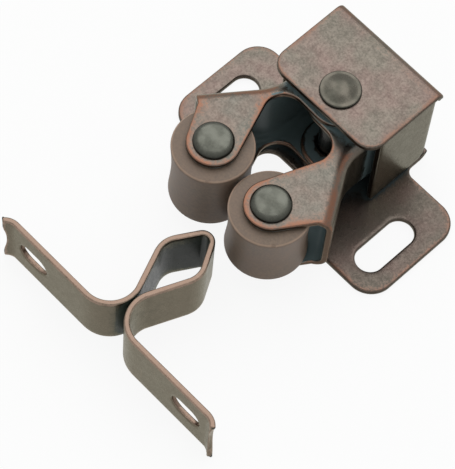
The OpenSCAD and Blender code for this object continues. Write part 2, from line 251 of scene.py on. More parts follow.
def antique_copper(name, low, high, warm, cool, upright, rubbed_and_highlight_tone, oxide_and_shade, deep_shade, cut_tone):
    """Plated steel: speckled dark copper with warm and cool patches, bright on rubbed edges and with a
    painted highlight along folds; upright faces, places in shelter and hollows get painted shade,
    partly the real blackening of the finish.
    """
    material = bpy.data.materials.new(name)
    material.use_nodes = True
    tree = material.node_tree
    finish = tree.nodes["Principled BSDF"]
    finish.inputs["Specular IOR Level"].default_value = plating_hollow_gloss
    finish.inputs["Specular Tint"].default_value = plating_edge_tint
    place = put(tree, "ShaderNodeTexCoord").outputs["Object"]

    grain = put(tree, "ShaderNodeGroup", {"node_tree": plating_grain}, plating_grain_size)
    tree.links.new(place, grain.inputs["Vector"])
    relief = put(tree, "ShaderNodeGroup", {"node_tree": rubbed_relief})
    for socket in ("Speckle", "Patch"):
        tree.links.new(grain.outputs[socket], relief.inputs[socket])
    for socket, field in (("Edge", "edge_wear_and_fold_highlight"), ("Recess", "recess"), ("Cut", "cut_face")):
        worn = put(tree, "ShaderNodeAttribute", {"attribute_name": field})
        tree.links.new(worn.outputs["Fac"], relief.inputs[socket])
    marks = put(tree, "ShaderNodeGroup", {"node_tree": handling_marks}, plating_scratch_turn)
    tree.links.new(place, marks.inputs["Vector"])

    hue = blend_colours(tree, grain.outputs["Patch"], cool, warm)
    tone = blend_colours(tree, grain.outputs["Speckle"], low, high)
    plate = blend_colours(tree, patch_share, tone, hue)
    # Upright faces are blended towards the upright tone, a painted shade on the sides.
    facing = put(tree, "ShaderNodeSeparateXYZ")
    tree.links.new(put(tree, "ShaderNodeNewGeometry").outputs["Normal"], facing.inputs["Vector"])
    level = math_step(tree, "ABSOLUTE", facing.outputs["Z"])
    upright_shade = ramp_between(tree, level, *upright_range, upright_shade_share, 0.0)
    side_shaded = blend_colours(tree, upright_shade, plate, upright)
    # Painted shade over the housing's right-hand end, from a value set on the housing's points.
    painted_right_shade = put(tree, "ShaderNodeAttribute", {"attribute_name": "painted_right_shade"})
    darker = math_step(tree, "MULTIPLY", painted_right_shade.outputs["Fac"], right_shade_share)
    right_shaded = blend_colours(tree, darker, side_shaded, oxide_and_shade)
    scratch = math_step(tree, "MULTIPLY", marks.outputs["Scratch"], scratch_share)
    scratched = blend_colours(tree, scratch, right_shaded, high)
    sheared = blend_colours(tree, relief.outputs["Sheared"], scratched, cut_tone)
    # Places in shelter are painted dark, partly real blackening and partly painted shade, and deep
    # hollows take a painted shade tone.
    shaded = blend_colours(tree, relief.outputs["Dark"], sheared, oxide_and_shade)
    deep_shaded = blend_colours(tree, relief.outputs["Deep"], shaded, deep_shade)
    # Rubbed edges show copper, and folds get a painted highlight in the same tone.
    colour = blend_colours(tree, relief.outputs["Bright"], deep_shaded, rubbed_and_highlight_tone)
    tree.links.new(colour, finish.inputs["Base Color"])

    # Deep in the painted shade the finish loses its metal, so that it stays dark.
    bare = ramp_between(tree, relief.outputs["Deep"], 0.0, 1.0, plating_metal, 0.0)
    tree.links.new(bare, finish.inputs["Metallic"])
    sheen = ramp_between(tree, grain.outputs["Speckle"], 0.0, 1.0, plating_dullest, plating_brightest)
    tree.links.new(sheen, finish.inputs["Roughness"])
    grained_bump(tree, grain, finish, strength=0.35, depth=0.00004)
    return material


# Distances and limits for the search for rubbed places, places in shelter and cut places on a sheet;
# places in shelter get painted shade, and folds get a painted highlight.
look_count = 22
golden_turn = 2.399963
ray_start = 2e-5
longest_look = 0.02
skin_depth = 1.45
cut_fade = 0.8
hole_step = 0.0005
hole_margin = 0.0010
hole_rub = 0.12
rub_width = 0.00042
spot_rub_width = 0.0011
spot_size = 0.004
full_bend = 200.0
sharpest_bend = 1200.0
bend_passes = 6
# The painted highlight along folds: which tilt of face gets the most, how wide the tilt band is, its
# gain, and how far from a rolled edge it starts.
fold_level = 0.80
fold_spread = 0.32
fold_gain = 1.15
fold_clear = 0.0003
# Painted shade that the inner faces of an arm's channel get all over.
hollow_shade = 0.8


def look_round(normal):
    """Directions spread over the half space that a surface faces, most of them near its normal."""
    side = normal.orthogonal().normalized()
    other = normal.cross(side)
    rays = []
    for step in range(look_count):
        share = (step + 0.5) / look_count
        turn = step * golden_turn
        flat = math.sqrt(share)
        ray = (side * math.cos(turn) + other * math.sin(turn)) * flat
        rays.append(ray + normal * math.sqrt(1 - share))
    return rays


def other_pieces(node):
    """A search tree of the larger pieces round one, to find what shelters it; the shade that they
    throw on it is painted into its colour.
    """
    points, faces = [], []
    for other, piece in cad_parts.items():
        if other != node and not other.endswith(("rivet", "axle", "spring")):
            first = len(points)
            points.extend(v.co.copy() for v in piece.data.vertices)
            faces.extend([first + k for k in f.vertices] for f in piece.data.polygons)
    return BVHTree.FromPolygons(points, faces)


def shade_at(vert, walls, shelter):
    """How far the walls within reach shelter a point, from 0 in the open to 1 where they touch it;
    this shelter is painted into the colour as shade.
    """
    start = vert.co + vert.normal * ray_start
    shade = 0.0
    for ray in look_round(vert.normal):
        met = [wall.ray_cast(start, ray, shelter)[3] for wall in walls]
        reach = min(shelter if distance is None else distance for distance in met)
        shade += 1.0 - reach / shelter
    return shade / look_count


def bend_at(vert):
    """How sharply the surface bends outwards at a point, as one over the radius."""
    turn = 0.0
    for edge in vert.link_edges:
        far = edge.other_vert(vert)
        step = far.co - vert.co
        turn += (far.normal - vert.normal).dot(step) / max(step.length_squared, 1e-12)
    return min(max(turn / len(vert.link_edges), 0.0), sharpest_bend)


def spread(values, neighbours, passes):
    """Evens out a value over the mesh by averaging it with the points next to it."""
    for _ in range(passes):
        values = [
            0.5 * value + 0.5 * sum(values[k] for k in near) / max(len(near), 1)
            for value, near in zip(values, neighbours)
        ]
    return values


def distance_from(spots):
    """A function that tells how far a place is from the nearest of the spots, or 1 m without any."""
    search = KDTree(max(len(spots), 1))
    for index, spot in enumerate(spots):
        search.insert(spot, index)
    search.balance()
    return lambda place: search.find(place)[2] if spots else 1.0


def pierced_rims(sheet, thickness, widest_hole):
    """Points along the rims of holes and slots, whose cut walls face each other across a gap."""
    walls = BVHTree.FromBMesh(sheet)
    points = []
    for face in sheet.faces:
        middle = face.calc_center_median()
        lift = face.normal * ray_start
        across = walls.ray_cast(middle + lift, face.normal, widest_hole)[3]
        through = walls.ray_cast(middle - lift, -face.normal, longest_look)[3] or longest_look
        if across is not None and through > skin_depth * thickness:
            for edge in face.edges:
                count = int(edge.calc_length() / hole_step) + 1
                points += [edge.verts[0].co.lerp(edge.verts[1].co, k / count) for k in range(count)]
    return points


def pressed_blank(node):
    """The node's solid as one welded mesh with its flat faces whole."""
    sheet = bmesh.new()
    sheet.from_mesh(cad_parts[node].data)
    bmesh.ops.remove_doubles(sheet, verts=sheet.verts[:], dist=3e-5)
    bmesh.ops.dissolve_degenerate(sheet, dist=1e-6, edges=sheet.edges[:])
    bmesh.ops.dissolve_limit(
        sheet, angle_limit=math.radians(0.6), verts=sheet.verts[:], edges=sheet.edges[:]
    )
    return sheet


def roll_edges(sheet, edge_round, grid):
    """Rolls the sheet's sharp edges over, marks the rolled faces and meshes the rest finely."""
    crease = math.radians(40)
    weld = 4e-6
    band = sheet.faces.layers.int.new("rolled")
    corners = [
        edge for edge in sheet.edges if edge.is_manifold and edge.calc_face_angle_signed(0.0) > crease
    ]
    rolled = bmesh.ops.bevel(
        sheet,
        geom=corners,
        offset=edge_round,
        offset_type="OFFSET",
        segments=3,
        profile=0.5,
        affect="EDGES",
        clamp_overlap=False,
    )
    for face in rolled["faces"]:
        face[band] = 1
    bmesh.ops.remove_doubles(sheet, verts=sheet.verts[:], dist=weld)
    bmesh.ops.dissolve_degenerate(sheet, dist=weld, edges=sheet.edges[:])
    bmesh.ops.triangulate(sheet, faces=sheet.faces[:])
    for _ in range(8):
        long_edges = [edge for edge in sheet.edges if edge.calc_length() > grid]
        if not long_edges:
            break
        bmesh.ops.subdivide_edges(sheet, edges=long_edges, cuts=1)
        bmesh.ops.triangulate(sheet, faces=sheet.faces[:])
    sheet.normal_update()
    for edge in sheet.edges:
        edge.smooth = edge.calc_face_angle(0.0) < crease


def wear_marks(sheet, node, thickness, shelter, hole_rims, side_rub, top_rub, rubbed_spots):
    """How rubbed each point of the sheet is, with a painted highlight added along folds; how far it
    lies in shelter, which keeps rubbing off and paints shade; and how much of a cut face it is.
    """
    band = sheet.faces.layers.int["rolled"]
    hollow = sheet.faces.layers.int.get("hollow")
    from_rim = distance_from([v.co for v in sheet.verts if any(f[band] for f in v.link_faces)])
    from_hole = distance_from(hole_rims)
    walls = BVHTree.FromBMesh(sheet)
    all_walls = (walls, other_pieces(node))
    sheet.verts.index_update()
    neighbours = [[e.other_vert(v).index for e in v.link_edges] for v in sheet.verts]
    bends = spread([bend_at(v) for v in sheet.verts], neighbours, bend_passes)
    wear_and_highlight, recess, cut = [], [], []
    for vert, bend in zip(sheet.verts, bends):
        away = from_rim(vert.co)
        handled = any((vert.co - spot).length < spot_size for spot in rubbed_spots)
        on_rim = 1.0 - away / (spot_rub_width if handled else rub_width)
        # A rounded bend tilted up towards the light gets a painted highlight, added to the rubbed
        # edges.
        fold_highlight = 0.0
        if away > fold_clear:
            tilted_to_light = max(0.0, fold_gain - abs(vert.normal.z - fold_level) / fold_spread)
            fold_highlight = min(1.0, bend / full_bend) * tilted_to_light
        rub = side_rub + top_rub * max(0.0, vert.normal.z)
        rub *= hole_rub if from_hole(vert.co) < hole_margin else 1.0
        wear_and_highlight.append(rub * max(on_rim, fold_highlight, 0.0))
        # Inner faces of a channel, away from their rolled edges, take the painted shade of a hollow.
        inside = hollow is not None and any(f[hollow] for f in vert.link_faces)
        inside = inside and not any(f[band] for f in vert.link_faces)
        recess.append(max(shade_at(vert, all_walls, shelter), hollow_shade if inside else 0.0))
        depth = walls.ray_cast(vert.co - vert.normal * ray_start, -vert.normal, longest_look)[3]
        depth = longest_look if depth is None else depth
        cut.append(min(1.0, max(0.0, (depth / thickness - skin_depth) / cut_fade)))
    return {"edge_wear_and_fold_highlight": wear_and_highlight, "recess": recess, "cut_face": cut}


def pressed_sheet(
    sheet,
    node,
    name,
    body,
    finish,
    thickness,
    edge_round,
    grid,
    shelter,
    widest_hole,
    side_rub=1.0,
    top_rub=0.0,
    rubbed_spots=(),
):
    """Sheet metal with rolled edges, marked with its rubbed edges and painted fold highlights, its
    places in shelter for painted shade, and its cut faces.
    """
    hole_rims = pierced_rims(sheet, thickness, widest_hole)
    roll_edges(sheet, edge_round, grid)
    marks = wear_marks(sheet, node, thickness, shelter, hole_rims, side_rub, top_rub, rubbed_spots)
    mesh = bpy.data.meshes.new(name)
    sheet.to_mesh(mesh)
    sheet.free()
    for field, values in marks.items():
        mesh.attributes.new(field, "FLOAT", "POINT").data.foreach_set("value", values)
    mesh.polygons.foreach_set("use_smooth", [True] * len(mesh.polygons))
    mesh.materials.append(finish)
    piece = bpy.data.objects.new(name, mesh)
    bpy.context.scene.collection.objects.link(piece)
    flats = piece.modifiers.new("flat faces stay flat", "WEIGHTED_NORMAL")
    flats.keep_sharp = True
    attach(piece, body)
    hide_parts(node)
    return piece


# The upright, oxide and soot tones are painted shade, the oxide tone partly real blackening in
# hollows; the rubbed tone also paints a highlight along folds.
housing_finish = antique_copper(
    "housing antique copper",
    low=finish_colour(74, 66, 61),
    high=finish_colour(120, 110, 102),
    warm=finish_colour(110, 92, 87),
    cool=finish_colour(92, 92, 83),
    upright=finish_colour(84, 79, 69),
    rubbed_and_highlight_tone=finish_colour(110, 86, 74),
    oxide_and_shade=finish_colour(62, 54, 49),
    deep_shade=finish_colour(62, 70, 72),
    cut_tone=finish_colour(54, 44, 38),
)
ear_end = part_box("housing")[1].x
housing_points = [v.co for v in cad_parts["housing"].data.vertices]
ear_front = min(spot.y for spot in housing_points if spot.x > ear_end - ear_tip)
ear_corner = Vector((ear_end - ear_rub_inset, ear_front + ear_rub_setback, ear_rub_height))
housing = pressed_sheet(
    pressed_blank("housing"),
    node="housing",
    name="housing_stamping",
    body="housing",
    finish=housing_finish,
    thickness=housing_sheet,
    edge_round=housing_edge,
    grid=housing_grid,
    shelter=housing_shelter,
    widest_hole=housing_hole,
    side_rub=housing_side_rub,
    top_rub=housing_top_rub,
    rubbed_spots=[ear_corner],
)
# Painted shade on the housing's right-hand ear and wall, darker towards the right end.
painted_right_shade = [(v.co.x - housing_shade_start) / housing_shade_fade for v in housing.data.vertices]
painted_right_shade = [min(1.0, max(0.0, value)) for value in painted_right_shade]
housing.data.attributes.new("painted_right_shade", "FLOAT", "POINT").data.foreach_set("value", painted_right_shade)


# Pivot rivet: a blackened steel rivet through the housing's bridge and base, headed over at both ends.
# Both arms swing on its shank, and its brimmed head shows on top.

pivot_shank = 0.0020
pivot_head = 0.0030
pivot_head_rise = 0.00115
pivot_brim = 0.00045
pivot_brim_width = 0.0005
pivot_foot = 0.0030
pivot_foot_rise = 0.0009
rivet_segments = 72


def turned(name, profile, centre, segments, closed=False):
    """A mesh turned about an upright axis from (radius, height) points."""
    shape = bmesh.new()
    rings = []
    for step in range(segments):
        angle = 2 * math.pi * step / segments
        spoke = Vector((math.cos(angle), math.sin(angle), 0.0))
        rings.append([shape.verts.new(centre + spoke * r + Vector((0, 0, z))) for r, z in profile])
    count = len(profile) if closed else len(profile) - 1
    for step in range(segments):
        here, following = rings[step], rings[(step + 1) % segments]
        for k in range(count):
            m = (k + 1) % len(profile)
            shape.faces.new((here[k], following[k], following[m], here[m]))
    bmesh.ops.remove_doubles(shape, verts=shape.verts[:], dist=1e-7)
    bmesh.ops.recalc_face_normals(shape, faces=shape.faces[:])
    for edge in shape.edges:
        edge.smooth = edge.calc_face_angle(0.0) < math.radians(35)
    mesh = bpy.data.meshes.new(name)
    shape.to_mesh(mesh)
    shape.free()
    mesh.polygons.foreach_set("use_smooth", [True] * len(mesh.polygons))
    piece = bpy.data.objects.new(name, mesh)
    bpy.context.scene.collection.objects.link(piece)
    return piece


def button(radius, rise):
    """Profile of a riveted button head, from its rim to its crown."""
    steps = 18
    points = []
    for step in range(steps + 1):
        turn = 0.5 * math.pi * step / steps
        out = math.cos(turn) ** 0.5
        up = math.sin(turn) ** 0.9
        points.append((radius * out, rise * up))
    return points


def brimmed(radius, brim, width, rise):
    """Profile of a head with a flat brim round its dome."""
    lip = 0.6 * brim
    lip_steps = 8
    rim = [(radius, 0.0), (radius, brim - lip)]
    for step in range(1, lip_steps + 1):
        turn = 0.5 * math.pi * step / lip_steps
        rim.append((radius - lip + lip * math.cos(turn), brim - lip + lip * math.sin(turn)))
    dome_radius = radius - 0.8 * width
    dome_steps = 24
    dome = []
    for step in range(1, dome_steps + 1):
        share = step / dome_steps
        swell = math.sin(0.5 * math.pi * share) ** 1.25
        dome.append((dome_radius * (1 - share), brim + (rise - brim) * swell))
    return rim + dome


def rivet(node, name, shank, head, foot, body, finish):
    """A rivet in the place of the node, from its shank's radius and the profiles of its two heads."""
    low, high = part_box(node)
    centre = Vector(((low.x + high.x) / 2, (low.y + high.y) / 2, 0.0))
    seat = high.z - max(z for r, z in head)
    base = low.z + max(z for r, z in foot)
    above = [(r, seat + z) for r, z in head]
    below = [(r, base - z) for r, z in foot]
    profile = below[::-1] + [(shank, base), (shank, seat)] + above
    piece = turned(name, profile, centre, rivet_segments)
    piece.data.materials.append(finish)
    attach(piece, body)
    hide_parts(node)


steel_grain_size = {"Grains": 3000.0, "Patches": 420.0}
# Which upward faces get the painted highlight, and which faces get the painted shade of the sides.
crown_range = (0.80, 1.0)
side_shade_range = (0.25, 0.98)


def filmed_steel(name, low, high, crown_highlight, painted_shade, sheen):
    """Steel under a thin dull film, with a painted highlight on the tops of heads, partly real polish
    from striking, and painted shade round the sides and shank.
    """
    material = bpy.data.materials.new(name)
    material.use_nodes = True
    tree = material.node_tree
    finish = tree.nodes["Principled BSDF"]
    finish.inputs["Metallic"].default_value = 0.95
    place = put(tree, "ShaderNodeTexCoord").outputs["Object"]
    grain = put(tree, "ShaderNodeGroup", {"node_tree": plating_grain}, steel_grain_size)
    tree.links.new(place, grain.inputs["Vector"])
    facing = put(tree, "ShaderNodeNewGeometry")
    lift = put(tree, "ShaderNodeSeparateXYZ")
    tree.links.new(facing.outputs["Normal"], lift.inputs["Vector"])
    # Upward faces get a painted highlight, broken by patches of real polish; sides and shanks get
    # painted shade.
    top = ramp_between(tree, lift.outputs["Z"], *crown_range)
    side = ramp_between(tree, lift.outputs["Z"], *side_shade_range)
    film = blend_colours(tree, grain.outputs["Speckle"], low, high)
    crown_highlight_mask = math_step(tree, "MULTIPLY", top, grain.outputs["Patch"])
    headed = blend_colours(tree, crown_highlight_mask, film, crown_highlight)
    tree.links.new(blend_colours(tree, side, painted_shade, headed), finish.inputs["Base Color"])
    gloss = ramp_between(tree, grain.outputs["Patch"], 0.0, 1.0, sheen + 0.08, sheen - 0.06)
    tree.links.new(gloss, finish.inputs["Roughness"])
    grained_bump(tree, grain, finish, strength=0.4, depth=0.00005)
    return material


# The lighter top tone is a painted highlight, partly real polish, and the darkest tone is painted
# shade on sides and shank.
pivot_finish = filmed_steel(
    "pivot rivet blackened steel",
    low=finish_colour(66, 65, 58),
    high=finish_colour(80, 79, 71),
    crown_highlight=finish_colour(90, 86, 78),
    painted_shade=finish_colour(44, 44, 40),
    sheen=0.28,
)
rivet(
    "pivot_rivet",
    "pivot_rivet_headed",
    pivot_shank,
    brimmed(pivot_head, pivot_brim, pivot_brim_width, pivot_head_rise),
    button(pivot_foot, pivot_foot_rise),
    "housing",
    pivot_finish,
)


# Arms: two folded steel channels, the right one nested inside the left one on the pivot rivet.
# Each is blanked and bent in a press, then plated with the housing, and carries a roller at its front.

arm_sheet = 0.0009
arm_edge = 0.00022
arm_grid = 0.0010
arm_shelter = 0.010
arm_hole = 0.0045
arm_fold = 0.0021
arm_web = 0.00745
arm_bend_start = 0.0020
arm_pivot = Vector((0.0, 0.00465))
arm_axle = Vector((0.0060, -0.0132))
arm_nose = 0.00385
arm_eye = 0.00435
arm_mouth = 0.0030
arm_tail_end = 0.01165
arm_tail_height = 0.0070
arm_swing = math.radians(-2.6)
arm_axle_hole = 0.00152
arm_pivot_hole = 0.00206
arm_rear_steps = 9
arm_web_steps = 12
arm_fold_steps = 8
arm_tail_steps = 5
flange_column = 0.00095
flange_row = 0.00082
flange_margin = 0.0005


def polar(turn):
    """A unit vector in plan at an angle."""
    return Vector((math.cos(turn), math.sin(turn)))


def run_of(first, last, count):
    """Points from first towards last, without last."""
    return [first.lerp(last, step / count) for step in range(count)]


def arc_of(centre, radius, start, end, count):
    """Points along an arc, with both its ends."""
    return [centre + radius * polar(start + (end - start) * step / count) for step in range(count + 1)]


def web_line(splay, bend, setback):
    """The web's outer face in plan, from the tail to the front, each point with its inward side."""
    rear = Vector((arm_web, arm_pivot.y + arm_eye))
    hinge = Vector((arm_web, arm_bend_start))
    centre = Vector((arm_web + bend, arm_bend_start))
    line = [(spot, Vector((-1.0, 0.0))) for spot in run_of(rear, hinge, arm_rear_steps)]
    for k in range(arm_web_steps + 1):
        out = polar(splay * k / arm_web_steps)
        line.append((centre - bend * out, -out))
    last = line[-1][0]
    length = (last.y - arm_axle.y - setback) / math.cos(splay)
    tip = last + length * Vector((math.sin(splay), -math.cos(splay)))
    for k in range(1, arm_web_steps + 1):
        line.append((last.lerp(tip, k / arm_web_steps), -polar(splay)))
    return line


def flange_outline(line, inner):
    """The rest of a flange's outline in plan, from the web's front end round to its rear end."""
    start = line[-1][0] + line[-1][1] * arm_fold
    end = line[0][0] + line[0][1] * arm_fold
    reach = arm_axle - start
    lean = math.atan2(reach.y, reach.x) + math.asin(arm_nose / reach.length)
    front = lean + 0.5 * math.pi
    back = -math.pi - inner
    nose = arc_of(arm_axle, arm_nose, front, back, 30)
    brow = arm_pivot.y - arm_eye - arm_mouth
    throat = (math.sin(inner) * (brow - nose[-1].y) - arm_mouth) / math.cos(inner)
    mouth = arc_of(Vector((nose[-1].x + throat, brow)), arm_mouth, -inner, 0.5 * math.pi, 18)
    eye = arc_of(arm_pivot, arm_eye, -0.5 * math.pi, -1.5 * math.pi, 30)
    outline = run_of(start, nose[0], 7)[1:] + nose[:-1]
    outline += run_of(nose[-1], mouth[0], 9) + mouth[:-1]
    outline += run_of(mouth[-1], eye[0], 5) + eye[:-1]
    return outline + run_of(eye[-1], end, 5)


def within(spot, outline):
    """Whether a point lies inside a closed outline."""
    inside = False
    for a, b in zip(outline, outline[1:] + outline[:1]):
        if (a.y > spot.y) != (b.y > spot.y):
            inside ^= spot.x < a.x + (spot.y - a.y) * (b.x - a.x) / (b.y - a.y)
    return inside


def on_flange(spot, outline):
    """Whether a point in plan lies inside a flange's outline and outside its two rivet holes."""
    in_axle_hole = (spot - arm_axle).length < arm_axle_hole
    in_pivot_hole = (spot - arm_pivot).length < arm_pivot_hole
    return within(spot, outline) and not in_axle_hole and not in_pivot_hole


def flange_mesh(outline):
    """Triangles that fill a flange round its two rivet holes; returns points, triangles and loops."""
    axle_hole = arc_of(arm_axle, arm_axle_hole, 0.0, 2 * math.pi, 28)[:-1]
    pivot_hole = arc_of(arm_pivot, arm_pivot_hole, 0.0, 2 * math.pi, 36)[:-1]
    points, edges, loops = [], [], []
    for loop in (outline, axle_hole, pivot_hole):
        first = len(points)
        points += loop
        ring = list(range(first, first + len(loop)))
        edges += list(zip(ring, ring[1:] + ring[:1]))
        loops.append(ring)
    from_rim = distance_from([spot.to_3d() for spot in points])
    rows = [math.floor(spot.y / flange_row) for spot in outline]
    columns = [math.floor(spot.x / flange_column) for spot in outline]
    for row in range(min(rows), max(rows) + 2):
        for column in range(min(columns) - 1, max(columns) + 2):
            spot = Vector(((column + 0.5 * (row % 2)) * flange_column, row * flange_row))
            if on_flange(spot, outline) and from_rim(spot.to_3d()) > flange_margin:
                points.append(spot)
    in_millimetres = [1000 * spot for spot in points]
    inside_only = 1
    filled = delaunay_2d_cdt(in_millimetres, edges, [], inside_only, 1e-6)
    source = [origin[0] for origin in filled[3]]
    faces = []
    for face in filled[2]:
        corners = [source[k] for k in face]
        middle = sum((points[k] for k in corners), Vector((0.0, 0.0))) / 3
        if on_flange(middle, outline):
            faces.append(corners)
    return points, faces, loops


def folded_arm(node, mirrored, splay, bend, setback, inner):
    """A channel folded from one blank: two flanges with their rivet holes, the web and its tail."""
    low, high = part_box(node)
    height = high.z - low.z
    turn = Matrix.Rotation(arm_swing, 2)
    sheet = bmesh.new()

    def point(plan, up):
        swung = turn @ (Vector((-plan.x if mirrored else plan.x, plan.y)) - arm_pivot) + arm_pivot
        return sheet.verts.new((swung.x, swung.y, low.z + up))

    line = web_line(splay, bend, setback)
    tail_low = 0.5 * (height - arm_tail_height)
    tail_high = 0.5 * (height + arm_tail_height)
    levels = [0.5 * (height - arm_fold + tail_high), tail_high]
    for k in range(1, arm_tail_steps + 1):
        levels.append(tail_high + (tail_low - tail_high) * k / arm_tail_steps)
    levels.append(0.5 * (tail_low + arm_fold))
    leans = [0.5 * math.pi * k / arm_fold_steps for k in range(arm_fold_steps + 1)]
    section = [(math.sin(lean), math.cos(lean), height - arm_fold) for lean in leans]
    section += [(1.0, 0.0, up) for up in levels]
    section += [(math.sin(lean), -math.cos(lean), arm_fold) for lean in leans[::-1]]
    first_tail = len(leans) + levels.index(tail_high)
    last_tail = first_tail + arm_tail_steps

    def skin_row(spot, inward, radius, rows):
        made = []
        for out, up, middle in (section[j] for j in rows):
            made.append(point(spot + inward * (arm_fold - radius * out), middle + radius * up))
        return made

    radii = (arm_fold, arm_fold - arm_sheet)
    every = range(len(section))
    tabs = range(first_tail, last_tail + 1)
    skins = [[skin_row(spot, inward, radius, every) for spot, inward in line] for radius in radii]
    rear, inward = line[0]
    tails = []
    for skin, radius in zip(skins, radii):
        tail = [skin[0][first_tail:last_tail + 1]]
        for share in (0.33, 0.67, 1.0):
            spot = Vector((arm_web, rear.y + (arm_tail_end - rear.y) * share))
            tail.append(skin_row(spot, inward, radius, tabs))
        tails.append(tail)
    hollow = sheet.faces.layers.int.new("hollow")
    for grid, is_inner in zip(skins + tails, (0, 1, 0, 1)):
        for here, following in zip(grid, grid[1:]):
            for k in range(len(here) - 1):
                face = sheet.faces.new((here[k], here[k + 1], following[k + 1], following[k]))
                face[hollow] = is_inner

    def rim(outer, under):
        for k in range(len(outer) - 1):
            sheet.faces.new((outer[k], outer[k + 1], under[k + 1], under[k]))

    rim(skins[0][-1], skins[1][-1])
    rim(skins[0][0][:first_tail + 1], skins[1][0][:first_tail + 1])
    rim(skins[0][0][last_tail:], skins[1][0][last_tail:])
    rim(tails[0][-1], tails[1][-1])
    for side in (0, -1):
        rim([row[side] for row in tails[0]], [row[side] for row in tails[1]])

    lap = [spot + inward * arm_fold for spot, inward in line]
    points, faces, loops = flange_mesh(lap + flange_outline(line, inner))
    outer_loop, *hole_loops = loops
    bare_loops = [outer_loop[len(line) - 1:] + outer_loop[:1]]
    bare_loops += [hole + hole[:1] for hole in hole_loops]
    for column, heights in ((0, (height, height - arm_sheet)), (-1, (0.0, arm_sheet))):
        sides = []
        for is_inner, (skin, up) in enumerate(zip(skins, heights)):
            shared = [row[column] for row in skin]
            verts = shared + [point(spot, up) for spot in points[len(shared):]]
            sides.append(verts)
            for corners in faces:
                sheet.faces.new([verts[k] for k in corners])[hollow] = is_inner
        for bare in bare_loops:
            rim([sides[0][k] for k in bare], [sides[1][k] for k in bare])
    bmesh.ops.recalc_face_normals(sheet, faces=sheet.faces[:])
    return sheet


# The upright, oxide and soot tones are painted shade, the oxide tone partly real blackening in
# hollows; the rubbed tone also paints a highlight along folds.
arm_finish = antique_copper(
    "arm antique copper",
    low=finish_colour(76, 71, 66),
    high=finish_colour(119, 112, 104),
    warm=finish_colour(108, 92, 84),
    cool=finish_colour(91, 92, 85),
    upright=finish_colour(86, 79, 70),
    rubbed_and_highlight_tone=finish_colour(118, 85, 69),
    oxide_and_shade=finish_colour(92, 91, 85),
    deep_shade=finish_colour(114, 130, 133),
    cut_tone=finish_colour(74, 53, 42),
)
for side, mirrored, splay, bend, setback, inner in (
    ("left", True, 34.0, 0.008, 0.00345, 23.5),
    ("right", False, 36.0, 0.006, 0.0043, 18.5),
):
    pressed_sheet(
        folded_arm(f"{side}_arm", mirrored, math.radians(splay), bend, setback, math.radians(inner)),
        node=f"{side}_arm",
        name=f"{side}_arm_channel",
        body=f"{side}_arm",
        finish=arm_finish,
        thickness=arm_sheet,
        edge_round=arm_edge,
        grid=arm_grid,
        shelter=arm_shelter,
        widest_hole=arm_hole,
    )


# Axle rivets: blackened steel rivets that hold the rollers between the flanges of the arms.
# Each has a factory button head on top and a smaller head set underneath.

axle_shank = 0.0015
axle_head = 0.00295
axle_head_rise = 0.00105
axle_foot = 0.0023
axle_foot_rise = 0.0006

# The lighter top tone is a painted highlight, partly real polish, and the darkest tone is painted
# shade on sides and shank.
axle_finish = filmed_steel(
    "axle rivet blackened steel",
    low=finish_colour(66, 67, 61),
    high=finish_colour(82, 83, 76),
    crown_highlight=finish_colour(90, 91, 84),
    painted_shade=finish_colour(44, 45, 41),
    sheen=0.30,
)
for side in ("left", "right"):
    rivet(
        f"{side}_axle",
        f"{side}_axle_rivet",
        axle_shank,
        button(axle_head, axle_head_rise),
        button(axle_foot, axle_foot_rise),
        f"{side}_arm",
        axle_finish,
    )


# Rollers: two brown moulded plastic rollers that turn on the axle rivets, with rounded rims.
# The tread is slightly waisted, and a trimmed moulding gate leaves a nub on the rim.

roller_radius = 0.0059
roller_rim = 0.00035
roller_waist = 0.00028
roller_bore = 0.00156
roller_segments = 112
gate_size = 0.00033
gate_stretch = (0.9, 1.5, 1.0, 1.0)
gate_inset = 0.0002
gate_drop = 0.00022
flash_inset = 0.3 * roller_rim
flash_width = 0.8 * roller_rim


def roller_profile(low, high):
    """Closed outline of a bored roller between two heights, with rounded rims and a waisted tread."""
    rim_steps = 6
    tread_steps = 24
    shoulder = roller_radius - roller_rim
    tread_low = low + roller_rim
    tread_high = high - roller_rim
    turns = [0.5 * math.pi * step / rim_steps for step in range(rim_steps + 1)]
    rounding = [(roller_rim * math.cos(turn), roller_rim * math.sin(turn)) for turn in turns]
    points = [(roller_bore, low)]
    points += [(shoulder + out, tread_low - down) for out, down in rounding[::-1]]
    for step in range(1, tread_steps):
        share = step / tread_steps
        hollow = roller_waist * math.sin(math.pi * share)
        points.append((roller_radius - hollow, tread_low + (tread_high - tread_low) * share))
    points += [(shoulder + out, tread_high + up) for out, up in rounding]
    points.append((roller_bore, high))
    return points


def add_gate(piece, centre, angle, height):
    """Sets the trimmed stub of the moulding gate on the roller's rim."""
    shape = bmesh.new()
    shape.from_mesh(piece.data)
    out = Vector((math.cos(angle), math.sin(angle), 0.0))
    spot = centre + out * (roller_radius - gate_inset) + Vector((0, 0, height))
    place = Matrix.Translation(spot) @ Matrix.Rotation(angle, 4, "Z") @ Matrix.Diagonal(gate_stretch)
    made = bmesh.ops.create_icosphere(shape, subdivisions=3, radius=gate_size, matrix=place)
    for vert in made["verts"]:
        for face in vert.link_faces:
            face.smooth = True
    shape.to_mesh(piece.data)
    shape.free()


def mark_flash_and_highlight(piece, centre, top):
    """Marks the light line round the roller's upper rim: the moulding flash that the tool leaves,
    partly a painted highlight on the rim.
    """
    values = []
    for vert in piece.data.vertices:
        out = math.hypot(vert.co.x - centre.x, vert.co.y - centre.y)
        off = math.hypot(out - roller_radius + flash_inset, vert.co.z - top + flash_inset)
        values.append(max(0.0, 1.0 - off / flash_width))
    piece.data.attributes.new("flash", "FLOAT", "POINT").data.foreach_set("value", values)


